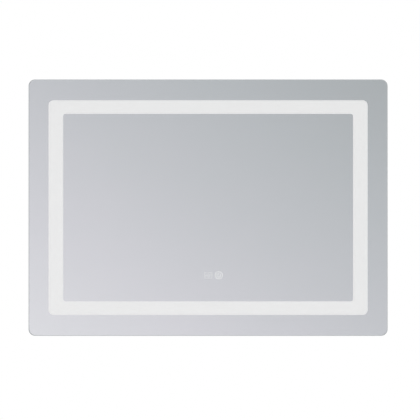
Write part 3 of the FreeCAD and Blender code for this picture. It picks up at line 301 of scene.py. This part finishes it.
def zinc_plate():
    """Bright zinc on sheet steel: faint crystals, rolling lines and handling marks."""
    finish = Finish("zinc_plate")
    crystals = finish.node("ShaderNodeTexVoronoi", {"feature": "F1"}, {
        "Vector": finish.place(), "Scale": 240.0}, output="Color")
    tint = finish.axes(crystals)[0]
    marks = finish.noise(40, 6, (1, 1, 4))
    colour = finish.shades(0.16 * tint + 0.84 * marks, (0.50, 0.52, 0.55, 1), (0.80, 0.81, 0.82, 1))
    return finish.surface(Base_Color=colour, Metallic=1.0, Roughness=0.27 + tint * 0.05 + marks * 0.16,
                          height=marks, depth=0.02 * MM)


def moulded(name, colour, gloss=0.4, grain=1400):
    """Injection moulded plastic with a spark-eroded grain."""
    finish = Finish(name)
    spark = finish.noise(grain)
    flow = finish.noise(25)
    tone = finish.shades(flow, shade(colour, 0.93), shade(colour, 1.05))
    return finish.surface(Base_Color=tone, Roughness=gloss + 0.12 * spark, height=spark, depth=0.03 * MM)


def rubber(name, colour):
    """Moulded rubber with a dusty bloom."""
    finish = Finish(name)
    bloom = finish.noise(60, 5)
    pores = finish.noise(1100)
    tone = finish.shades(bloom, shade(colour, 0.8), shade(colour, 1.5))
    return finish.surface(Base_Color=tone, Roughness=0.62 + bloom * 0.2, height=pores, depth=0.05 * MM)


def silicone():
    """A bead of adhesive as it was pulled along the frame."""
    finish = Finish("silicone_bead")
    pulled = finish.noise(90, 3)
    tone = finish.shades(pulled, (0.66, 0.66, 0.64, 1), (0.76, 0.76, 0.74, 1))
    return finish.surface(Base_Color=tone, Roughness=0.38, height=pulled, depth=0.2 * MM,
                          Subsurface_Weight=0.1)


def opal_acrylic():
    """Milky acrylic, a little cloudy."""
    finish = Finish("opal_acrylic")
    milk = finish.noise(200)
    tone = finish.shades(milk, (0.83, 0.83, 0.82, 1), (0.88, 0.88, 0.87, 1))
    return finish.surface(Base_Color=tone, Roughness=0.35 + milk * 0.1)


def printed_board(name, ground, track, per_metre):
    """A circuit board: solder mask with its tracks showing through."""
    finish = Finish(name)
    cells = finish.node("ShaderNodeTexVoronoi", {"feature": "DISTANCE_TO_EDGE"}, {
        "Vector": finish.place(), "Scale": per_metre})
    tracks = 1 - finish.rise(cells, 0.04, 0.07)
    mask = finish.noise(300)
    colour = finish.blend(tracks * 0.8, finish.shades(mask, shade(ground, 0.85), shade(ground, 1.1)), track)
    return finish.surface(Base_Color=colour, Roughness=0.3 + mask * 0.1, height=tracks, depth=0.05 * MM)


def phosphor():
    """The yellow gel over a white LED."""
    finish = Finish("phosphor")
    gel = finish.noise(700)
    colour = finish.shades(gel, (0.86, 0.72, 0.24, 1), (0.95, 0.86, 0.45, 1))
    return finish.surface(Base_Color=colour, Roughness=0.25 + gel * 0.1)


def turned_brass():
    """Brass with the marks of the tool that turned it."""
    finish = Finish("turned_brass")
    cuts = finish.noise(120, 3, (6, 1, 1))
    colour = finish.shades(cuts, (0.60, 0.44, 0.17, 1), (0.76, 0.60, 0.28, 1))
    return finish.surface(Base_Color=colour, Metallic=1.0, Roughness=0.25 + cuts * 0.15)


def taped_core():
    """A ferrite core under yellow winding tape."""
    finish = Finish("taped_core")
    low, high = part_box("driver_transformer")
    centre = (low + high) / 2
    across = finish.axes(finish.place())[0]
    far = finish.node("ShaderNodeMath", {"operation": "ABSOLUTE"}, {0: across - centre.x})
    tape = 1 - finish.rise(far, 7.5 * MM, 8 * MM)
    grit = finish.noise(800, 3)
    core = finish.shades(grit, (0.035, 0.033, 0.032, 1), (0.075, 0.07, 0.068, 1))
    colour = finish.blend(tape, core, (0.62, 0.46, 0.09, 1))
    return finish.surface(Base_Color=colour, Roughness=0.55 - tape * 0.2, height=grit, depth=0.05 * MM)


def insulation(name, colour, stripe=None):
    """Extruded insulation. A second colour lies in bands along it."""
    finish = Finish(name)
    scuff = finish.noise(80, 3)
    tone = finish.shades(scuff, shade(colour, 0.88), shade(colour, 1.1))
    if stripe:
        bands = finish.node("ShaderNodeTexWave", {"bands_direction": "DIAGONAL"}, {
            "Vector": finish.place(), "Scale": 45.0}, output="Fac")
        tone = finish.blend(finish.rise(bands, 0.45, 0.55), tone, stripe)
    return finish.surface(Base_Color=tone, Roughness=0.34 + scuff * 0.14)


def heater_film():
    """Amber film, rippled where it was rolled on."""
    finish = Finish("heater_film")
    ripple = finish.noise(45, 3)
    colour = finish.shades(ripple, (0.60, 0.36, 0.08, 1), (0.72, 0.47, 0.14, 1))
    return finish.surface(Base_Color=colour, Roughness=0.2 + ripple * 0.15, height=ripple, depth=0.1 * MM)


def etched_foil():
    """Thin creased foil."""
    finish = Finish("etched_foil")
    crease = finish.noise(160, 4)
    colour = finish.shades(crease, (0.55, 0.52, 0.46, 1), (0.72, 0.70, 0.64, 1))
    return finish.surface(Base_Color=colour, Metallic=1.0, Roughness=0.3 + crease * 0.2)


GLASS = float_glass()
RIM = polished_rim()
SILVERING = silvering()
LIT_ENAMEL = lit_enamel()
POWER_LIGHT = lit_mark("power_mark_light", 0.71)
DEMISTER_LIGHT = lit_mark("demister_mark_light", 0.68)
ALUMINIUM_ACROSS = anodised("anodised_across", (0.3, 40, 40))
ALUMINIUM_UPRIGHT = anodised("anodised_upright", (40, 40, 0.3))
PANEL_PAINT = powder_coat("panel_powder_coat", (0.64, 0.645, 0.64, 1))
ZINC = zinc_plate()
RUBBER = rubber("black_rubber", (0.035, 0.035, 0.036, 1))
SILICONE = silicone()
OPAL = opal_acrylic()
WHITE_NYLON = moulded("white_nylon", (0.78, 0.78, 0.76, 1))
BLACK_CASE = moulded("black_case_plastic", (0.03, 0.03, 0.033, 1), gloss=0.45)
CAN_SLEEVE = moulded("capacitor_sleeve", (0.02, 0.025, 0.05, 1), gloss=0.25, grain=500)
GREEN_BOARD = printed_board("green_board", (0.02, 0.17, 0.06, 1), (0.09, 0.34, 0.13, 1), 140)
TAPE_BOARD = printed_board("led_tape_board", (0.80, 0.80, 0.78, 1), (0.66, 0.50, 0.30, 1), 60)
PHOSPHOR = phosphor()
BRASS = turned_brass()
TAPED_CORE = taped_core()
BROWN_LEAD = insulation("brown_insulation", (0.17, 0.07, 0.03, 1))
BLUE_LEAD = insulation("blue_insulation", (0.03, 0.09, 0.36, 1))
EARTH_LEAD = insulation("earth_insulation", (0.10, 0.36, 0.05, 1), (0.80, 0.66, 0.05, 1))
WHITE_LEAD = insulation("white_insulation", (0.72, 0.72, 0.70, 1))
FILM = heater_film()
FOIL = etched_foil()

FINISHES = {
    "silver_border": SILVERING, "silver_field": SILVERING, "frosted_band": LIT_ENAMEL,
    "frame_adhesive": SILICONE, "terminal_body": WHITE_NYLON, "terminal_contacts": BRASS,
    "terminal_screws": ZINC, "earth_stud": ZINC, "earth_nut": ZINC, "driver_base": WHITE_NYLON,
    "driver_cover": WHITE_NYLON, "driver_board": GREEN_BOARD, "driver_transformer": TAPED_CORE,
    "driver_capacitors": CAN_SLEEVE, "touch_case": BLACK_CASE, "touch_board": GREEN_BOARD,
    "touch_springs": ZINC, "live_lead": BROWN_LEAD, "neutral_lead": BLUE_LEAD, "earth_lead": EARTH_LEAD,
    "led_supply_lead": WHITE_LEAD, "led_feed_lead": WHITE_LEAD, "demister_lead": WHITE_LEAD,
    "led_jumpers": WHITE_LEAD, "lead_clips": WHITE_NYLON, "demister_pad": FILM, "demister_foil": FOIL,
    "mirror_glass": GLASS, "back_panel": PANEL_PAINT, "wall_rail": ZINC, "mirror_rail": ZINC,
    "back_panel_screws": ZINC, "mirror_rail_screws": ZINC, "driver_screws": ZINC,
    "cable_grommet": RUBBER, "wall_bumpers": RUBBER,
}
STARTS = {
    "corner_key_": ZINC, "led_tape_": TAPE_BOARD, "led_chips_": PHOSPHOR, "diffuser_": OPAL,
    "frame_top": ALUMINIUM_ACROSS, "frame_bottom": ALUMINIUM_ACROSS, "frame_left": ALUMINIUM_UPRIGHT,
    "frame_right": ALUMINIUM_UPRIGHT,
}


def finish_cad_pieces():
    """Gives every solid its finish, by its name or by how its name starts."""
    for name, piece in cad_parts.items():
        finish = FINISHES.get(name) or next(STARTS[start] for start in STARTS if name.startswith(start))
        for slot in piece.material_slots:
            slot.material = finish


# Shaping

def flat(face):
    """Accepts no face, so that all are shaded flat."""
    return False


def smaller_than(limit):
    """Accepts the faces under a limit in square mm, which are those of roundings."""
    return lambda face: face.calc_area() < limit * MM * MM


def finished(shape, name, finishes, smooth=lambda face: True):
    """The shape as an object with its finishes. Faces that smooth accepts are shaded round."""
    mesh = bpy.data.meshes.new(name)
    for face in shape.faces:
        face.smooth = smooth(face)
    shape.to_mesh(mesh)
    shape.free()
    for finish in finishes:
        mesh.materials.append(finish)
    piece = bpy.data.objects.new(name, mesh)
    scene.collection.objects.link(piece)
    return piece


def stands_for(piece, node, body="mirror"):
    """Shows the piece in place of a solid."""
    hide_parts(node)
    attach(piece, body)


def corners_of(drawn):
    """The corners among what an operator has drawn."""
    return [part for part in drawn if isinstance(part, bmesh.types.BMVert)]


def joined(shapes):
    """Several shapes in one."""
    whole = bmesh.new()
    for shape in shapes:
        part = bpy.data.meshes.new("part")
        shape.to_mesh(part)
        shape.free()
        whole.from_mesh(part)
        bpy.data.meshes.remove(part)
    return whole


def upright(shape, corners):
    """Turns what is drawn flat on X and Y, facing up, to stand on X and Z and face the front."""
    bmesh.ops.rotate(shape, verts=corners, cent=(0, 0, 0), matrix=Matrix.Rotation(math.pi / 2, 3, "X"))


def rounded(shape, edges, width, segments, affect="EDGES"):
    """Rounds edges, or corners, over a width, and gives the new faces."""
    return bmesh.ops.bevel(shape, geom=edges, offset=width, offset_type="OFFSET", segments=segments,
                           profile=0.5, affect=affect, clamp_overlap=True, material=-1)["faces"]


def rounded_sheet(shape, width, height, radius, segments):
    """One flat face with round corners, facing the front, at the origin."""
    sheet = bmesh.ops.create_grid(shape, x_segments=1, y_segments=1, size=0.5)["verts"]
    bmesh.ops.scale(shape, verts=sheet, vec=(width, height, 1))
    upright(shape, sheet)
    rounded(shape, sheet, radius, segments, affect="VERTICES")
    return shape.faces[:]


def edges_at(shape, level):
    """The edges that lie at a depth."""
    return [edge for edge in shape.edges if all(abs(corner.co.y - level) < HAIR for corner in edge.verts)]


def thickened(shape, faces, depth):
    """Gives flat faces a thickness along Y, with all faces outward."""
    drawn = bmesh.ops.extrude_face_region(shape, geom=faces)["geom"]
    bmesh.ops.translate(shape, verts=corners_of(drawn), vec=(0, depth, 0))
    bmesh.ops.recalc_face_normals(shape, faces=shape.faces)


# The glass and its lit marks

def glass_plate():
    """The plate with its seamed and polished rim, just clear of the silver behind it."""
    size = GLASS_HIGH - GLASS_LOW
    rear = SILVER_FACE - SILVER_GAP
    shape = bmesh.new()
    front = rounded_sheet(shape, size.x, size.z, radius=GLASS_CORNER, segments=16)
    bmesh.ops.translate(shape, verts=shape.verts, vec=(MIDDLE.x, GLASS_LOW.y, MIDDLE.z))
    thickened(shape, front, rear - GLASS_LOW.y)
    for level in (GLASS_LOW.y, rear):
        rounded(shape, edges_at(shape, level), GLASS_SEAM, segments=2)
    # Both flats and the inner half of the front seam are clear. The rest is rim.
    for face in shape.faces:
        clear = abs(face.normal.y) > 0.99 or face.normal.y < -0.5
        face.material_index = 0 if clear else 1
    plate = finished(shape, "glass_plate", [GLASS, RIM], smaller_than(20))
    stands_for(plate, "mirror_glass")


def stroke(shape, centre, radius, width, start, sweep, steps):
    """A flat stroke along an arc on X and Z, from a start angle, both in degrees."""
    spoke = Matrix.Rotation(-math.radians(start), 3, "Y") @ Vector((1, 0, 0))
    ends = [shape.verts.new(centre + spoke * (radius + side * width / 2)) for side in (-1, 1)]
    edge = shape.edges.new(ends)
    bmesh.ops.spin(shape, geom=[*ends, edge], cent=centre, axis=(0, -1, 0), dvec=(0, 0, 0),
                   angle=math.radians(sweep), steps=steps, use_merge=abs(sweep) == 360)


def bar(shape, centre, width, height):
    """A flat upright bar on X and Z."""
    made = bmesh.ops.create_grid(shape, x_segments=1, y_segments=1, size=0.5)["verts"]
    bmesh.ops.scale(shape, verts=made, vec=(width, height, 1))
    upright(shape, made)
    bmesh.ops.translate(shape, verts=made, vec=centre)


def mark_centre(side):
    """The middle of the mark to the right, for a side of 1, or to the left, for -1."""
    return Vector((TOUCH.x + side * MARK_SPREAD, SILVER_FACE - MARK_GAP, TOUCH.z + MARK_RISE))


def finished_mark(shape, name, finish):
    """Gives a flat mark its thickness, faces it to the front and hides it just behind the glass."""
    bmesh.ops.remove_doubles(shape, verts=shape.verts, dist=HAIR)
    bmesh.ops.recalc_face_normals(shape, faces=shape.faces)
    turned = [face for face in shape.faces if face.normal.y > 0]
    bmesh.ops.reverse_faces(shape, faces=turned)
    thickened(shape, shape.faces[:], -MARK_THICKNESS)
    mark = finished(shape, name, [finish], flat)
    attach(mark, "mirror")


def power_mark():
    """A ring round the usual broken circle and bar of a power switch."""
    centre = mark_centre(1)
    shape = bmesh.new()
    stroke(shape, centre, radius=7.0 * MM, width=1.8 * MM, start=0, sweep=360, steps=48)
    stroke(shape, centre, radius=3.7 * MM, width=1.7 * MM, start=125, sweep=290, steps=28)
    bar(shape, centre + Vector((0, 0, 2.3 * MM)), width=1.6 * MM, height=5.8 * MM)
    finished_mark(shape, "power_mark", POWER_LIGHT)


def demister_mark():
    """A rounded pane with three rising waves of warm air."""
    centre = mark_centre(-1)
    shape = bmesh.new()
    pane = rounded_sheet(shape, width=15.6 * MM, height=12.2 * MM, radius=2.4 * MM, segments=8)
    bmesh.ops.translate(shape, verts=shape.verts, vec=centre)
    outline = bmesh.ops.inset_region(shape, faces=pane, thickness=0.9 * MM, use_even_offset=True,
                                     use_boundary=True)["faces"]
    inner = [face for face in shape.faces if face not in outline]
    bmesh.ops.delete(shape, geom=inner, context="FACES")
    for across in (-WAVE_PITCH, 0, WAVE_PITCH):
        for side in (1, -1):
            middle = centre + Vector((across, 0, side * WAVE_RADIUS))
            stroke(shape, middle, WAVE_RADIUS, width=1.05 * MM, start=-90, sweep=side * 180, steps=10)
    finished_mark(shape, "demister_mark", DEMISTER_LIGHT)


# Sheet, extrusion, screws and rubber

def solid_of(node):
    """A copy of a solid's mesh, with its loose triangles joined up."""
    shape = bmesh.new()
    shape.from_mesh(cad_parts[node].data)
    bmesh.ops.remove_doubles(shape, verts=shape.verts, dist=HAIR)
    return shape


def softened(node, name, finish, width, body="mirror"):
    """A copy of a solid with its flat faces whole and its sharp edges broken."""
    shape = solid_of(node)
    bmesh.ops.dissolve_limit(shape, angle_limit=math.radians(1), verts=shape.verts, edges=shape.edges)
    for face in shape.faces:
        face.material_index = 0
    sharp = [edge for edge in shape.edges if edge.is_manifold and edge.calc_face_angle() > SHARP_TURN]
    rounds = set(rounded(shape, sharp, width, segments=2))
    piece = finished(shape, name, [finish], lambda face: face in rounds)
    stands_for(piece, node, body)


def ringed(shape, edges, radius, level):
    """Draws a loop of edges out to a circle of a radius at a level, and gives the edges of that circle."""
    drawn = bmesh.ops.extrude_edge_only(shape, edges=edges)["geom"]
    ring = set(corners_of(drawn))
    for corner in ring:
        corner.co.xy = corner.co.xy.normalized() * radius
        corner.co.z = level
    return [part for part in drawn if isinstance(part, bmesh.types.BMEdge) and ring.issuperset(part.verts)]


def pan_screw():
    """A pan-head screw with a cross recess and a rolled thread, its head up and its seat at the origin."""
    shape = bmesh.new()
    made = bmesh.ops.create_grid(shape, x_segments=3, y_segments=3, size=3 * RECESS_HALF)["verts"]
    bmesh.ops.translate(shape, verts=made, vec=(0, 0, HEAD_TOP))
    bmesh.ops.subdivide_edges(shape, edges=[edge for edge in shape.edges if edge.is_boundary], cuts=1)
    rim = [edge for edge in shape.edges if edge.is_boundary]
    for corner in {corner for edge in rim for corner in edge.verts}:
        corner.co.xy = corner.co.xy.normalized() * HEAD_FLAT
    cross = [face for face in shape.faces
             if min(abs(along) for along in face.calc_center_median().xy) < RECESS_HALF / 4]
    floor = corners_of(bmesh.ops.extrude_face_region(shape, geom=cross)["geom"])
    bmesh.ops.scale(shape, verts=floor, vec=(RECESS_TAPER, RECESS_TAPER, 1))
    bmesh.ops.translate(shape, verts=floor, vec=(0, 0, -RECESS_DEPTH))
    bmesh.ops.delete(shape, geom=[face for face in cross if face.is_valid], context="FACES")
    rim = [edge for edge in rim if edge.is_valid]
    for radius, height in HEAD_RINGS:
        rim = ringed(shape, rim, radius * MM, height * MM)
    for turn in range(round(SCREW_LENGTH / THREAD_PITCH)):
        for radius, drop in THREAD_RINGS:
            rim = ringed(shape, rim, radius * MM, -turn * THREAD_PITCH - drop * MM)
    rim = ringed(shape, rim, TIP_RADIUS, -SCREW_LENGTH)
    bmesh.ops.holes_fill(shape, edges=rim, sides=0)
    bmesh.ops.recalc_face_normals(shape, faces=shape.faces)
    return shape


def screw_seats(node):
    """Where the head of each plain screw of a node meets the sheet, from left to right."""
    shape = solid_of(node)
    left, seats = set(shape.verts), []
    while left:
        screw, reached = set(), {left.pop()}
        while reached:
            corner = reached.pop()
            screw.add(corner)
            beside = {edge.other_vert(corner) for edge in corner.link_edges} & left
            left -= beside
            reached |= beside
        across, rearward, up = zip(*(corner.co for corner in screw))
        seats.append(Vector(((min(across) + max(across)) / 2, max(rearward) - HEAD_TOP,
                             (min(up) + max(up)) / 2)))
    shape.free()
    return sorted(seats, key=lambda seat: (round(seat.x, 4), round(seat.z, 4)))


def screws_of(node, name):
    """Round screws with a recess, one at each plain screw of a node. The heads are to the rear."""
    rearward = Matrix.Rotation(-math.pi / 2, 3, "X")
    screws = []
    for k, seat in enumerate(screw_seats(node)):
        screw = pan_screw()
        turned = Matrix.Rotation(k * TURN_BETWEEN_SCREWS, 3, "Z")
        bmesh.ops.rotate(screw, verts=screw.verts, cent=(0, 0, 0), matrix=rearward @ turned)
        bmesh.ops.translate(screw, verts=screw.verts, vec=seat)
        screws.append(screw)
    piece = finished(joined(screws), name, [ZINC])
    piece.data.set_sharp_from_angle(angle=SHARP_TURN)
    stands_for(piece, node)


def grommet():
    """A turned rubber ring with soft lips that grip the panel, no wider than its solid."""
    low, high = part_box("cable_grommet")
    widest = (high.x - low.x) / 2
    shape = bmesh.new()
    outline = [*GROMMET_LIP, *((radius, -along) for radius, along in reversed(GROMMET_LIP))]
    corners = [shape.verts.new((min(radius * MM, widest), along * MM, 0)) for radius, along in outline]
    edges = [shape.edges.new(pair) for pair in zip(corners, corners[1:] + corners[:1])]
    bmesh.ops.spin(shape, geom=corners + edges, cent=(0, 0, 0), axis=(0, 1, 0), dvec=(0, 0, 0),
                   angle=2 * math.pi, steps=40, use_merge=True)
    bmesh.ops.remove_doubles(shape, verts=shape.verts, dist=HAIR)
    bmesh.ops.recalc_face_normals(shape, faces=shape.faces)
    bmesh.ops.translate(shape, verts=shape.verts, vec=(low + high) / 2)
    piece = finished(shape, "rubber_grommet", [RUBBER])
    piece.data.set_sharp_from_angle(angle=math.radians(50))
    stands_for(piece, "cable_grommet")


def foot(centre, depth):
    """One rubber foot with rounded edges and a shallow cup against the wall."""
    shape = bmesh.new()
    bmesh.ops.create_cube(shape, size=1)
    bmesh.ops.scale(shape, verts=shape.verts, vec=(FOOT_SIDE, depth, FOOT_SIDE))
    bmesh.ops.translate(shape, verts=shape.verts, vec=centre)
    standing = [edge for edge in shape.edges if abs(edge.verts[0].co.y - edge.verts[1].co.y) > HAIR]
    rounded(shape, standing, FOOT_CORNER, segments=5)
    rounded(shape, edges_at(shape, centre.y + depth / 2), FOOT_EDGE, segments=4)
    cap = max((face for face in shape.faces if face.normal.y > 0.9), key=lambda face: face.calc_area())
    bmesh.ops.inset_region(shape, faces=[cap], thickness=FOOT_LIP, use_even_offset=True)
    bmesh.ops.inset_region(shape, faces=[cap], thickness=CUP_SLOPE, depth=-CUP_DEPTH, use_even_offset=True)
    return shape


def bumpers():
    """The four moulded feet that keep the mirror off the wall."""
    low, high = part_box("wall_bumpers")
    feet = [foot(Vector((across, (low.y + high.y) / 2, up)), high.y - low.y)
            for across in (low.x + FOOT_SIDE / 2, high.x - FOOT_SIDE / 2)
            for up in (low.z + FOOT_SIDE / 2, high.z - FOOT_SIDE / 2)]
    piece = finished(joined(feet), "rubber_feet", [RUBBER], smaller_than(50))
    piece.data.set_sharp_from_angle(angle=math.radians(40))
    stands_for(piece, "wall_bumpers")


# The studio

def studio_air():
    """White behind everything, and a soft grey slope in front for the mirror to show."""
    world = bpy.data.worlds.new("studio_air")
    scene.world = world
    air = Finish("studio_air", world)
    across, into, up = air.axes(air.node("ShaderNodeTexCoord", output="Generated"))
    near = air.shades(0.5 + across * 1.78 + up * 2.72, written(228, 226, 231), written(216, 214, 220),
                      written(202, 202, 207), written(189, 191, 195), written(176, 179, 182))
    broad = air.shades(1.05 + up * 1.1 + across * 0.2, written(236, 235, 238), written(206, 206, 210),
                       written(168, 171, 176))
    aside = air.rise(across * across + up * up, 0.05, 0.4)
    rear = air.shades(0.5 + up * 0.7 + across * 0.3, written(176, 180, 184), written(226, 228, 231), WHITE)
    shown = air.blend(air.rise(into, 0.1, 0.5), air.blend(aside, near, broad), rear)
    glossy = air.node("ShaderNodeLightPath", output="Is Glossy Ray")
    through = air.node("ShaderNodeLightPath", output="Is Transmission Ray")
    seen = air.node("ShaderNodeLightPath", output="Is Camera Ray")
    mirrored = air.node("ShaderNodeMath", {"operation": "MAXIMUM"}, {0: glossy, 1: through})
    colour = air.blend(seen, air.blend(mirrored, (0.5, 0.504, 0.512, 1), shown), WHITE)
    shader = air.node("ShaderNodeBackground", {}, {"Color": colour, "Strength": 1.0})
    air.node("ShaderNodeOutputWorld", {}, {"Surface": shader})


def lamp(name, place, power, side):
    """A soft square lamp that faces the mirror and doesn't show in it."""
    light = bpy.data.lights.new(name, "AREA")
    light.energy = power
    light.size = side
    holder = bpy.data.objects.new(name, light)
    holder.location = place
    holder.rotation_euler = (MIDDLE - Vector(place)).to_track_quat("-Z", "Y").to_euler()
    holder.visible_glossy = False
    holder.visible_transmission = False
    scene.collection.objects.link(holder)


def studio_floor():
    """A pale floor, low enough for the mirror to be seen from below."""
    finish = Finish("studio_floor")
    seen = finish.node("ShaderNodeLightPath", output="Is Camera Ray")
    pale = finish.node("ShaderNodeBsdfDiffuse", {}, {"Color": (0.9, 0.9, 0.9, 1)})
    white = finish.node("ShaderNodeEmission", {}, {"Color": WHITE, "Strength": 1.0})
    mixed = finish.node("ShaderNodeMixShader", {}, {0: seen, 1: pale, 2: white})
    finish.node("ShaderNodeOutputMaterial", {}, {"Surface": mixed})
    shape = bmesh.new()
    bmesh.ops.create_grid(shape, x_segments=1, y_segments=1, size=FLOOR_REACH)
    bmesh.ops.translate(shape, verts=shape.verts, vec=(0, 0, MIDDLE.z - FLOOR_DROP))
    floor = finished(shape, "studio_floor", [finish.material], flat)
    floor.visible_glossy = False
    floor.visible_transmission = False


def camera():
    """Square to the glass, as far away as the reach, with the photograph's margins round the glass."""
    data = bpy.data.cameras.new("camera")
    holder = bpy.data.objects.new("camera", data)
    data.sensor_width = 36
    data.lens = data.sensor_width * CAMERA_REACH / (PICTURE_SIDE * PIXEL)
    holder.location = (CAMERA_RIGHT, GLASS_LOW.y - CAMERA_REACH, MIDDLE.z - CAMERA_DROP)
    holder.rotation_euler = (math.pi / 2, 0, 0)
    scene.collection.objects.link(holder)
    scene.camera = holder


camera()
studio_air()
studio_floor()
for each in LAMPS:
    lamp(*each)
scene.view_settings.view_transform = "Standard"

finish_cad_pieces()
glass_plate()
power_mark()
demister_mark()
softened("back_panel", "pressed_back_panel", PANEL_PAINT, PANEL_EDGE)
softened("wall_rail", "bent_wall_rail", ZINC, METAL_EDGE, body="wall_rail")
softened("mirror_rail", "bent_mirror_rail", ZINC, METAL_EDGE)
for side, metal in (("top", ALUMINIUM_ACROSS), ("bottom", ALUMINIUM_ACROSS),
                    ("left", ALUMINIUM_UPRIGHT), ("right", ALUMINIUM_UPRIGHT)):
    softened(f"frame_{side}", f"extruded_frame_{side}", metal, METAL_EDGE)
screws_of("back_panel_screws", "round_panel_screws")
screws_of("mirror_rail_screws", "round_rail_screws")
grommet()
bumpers()
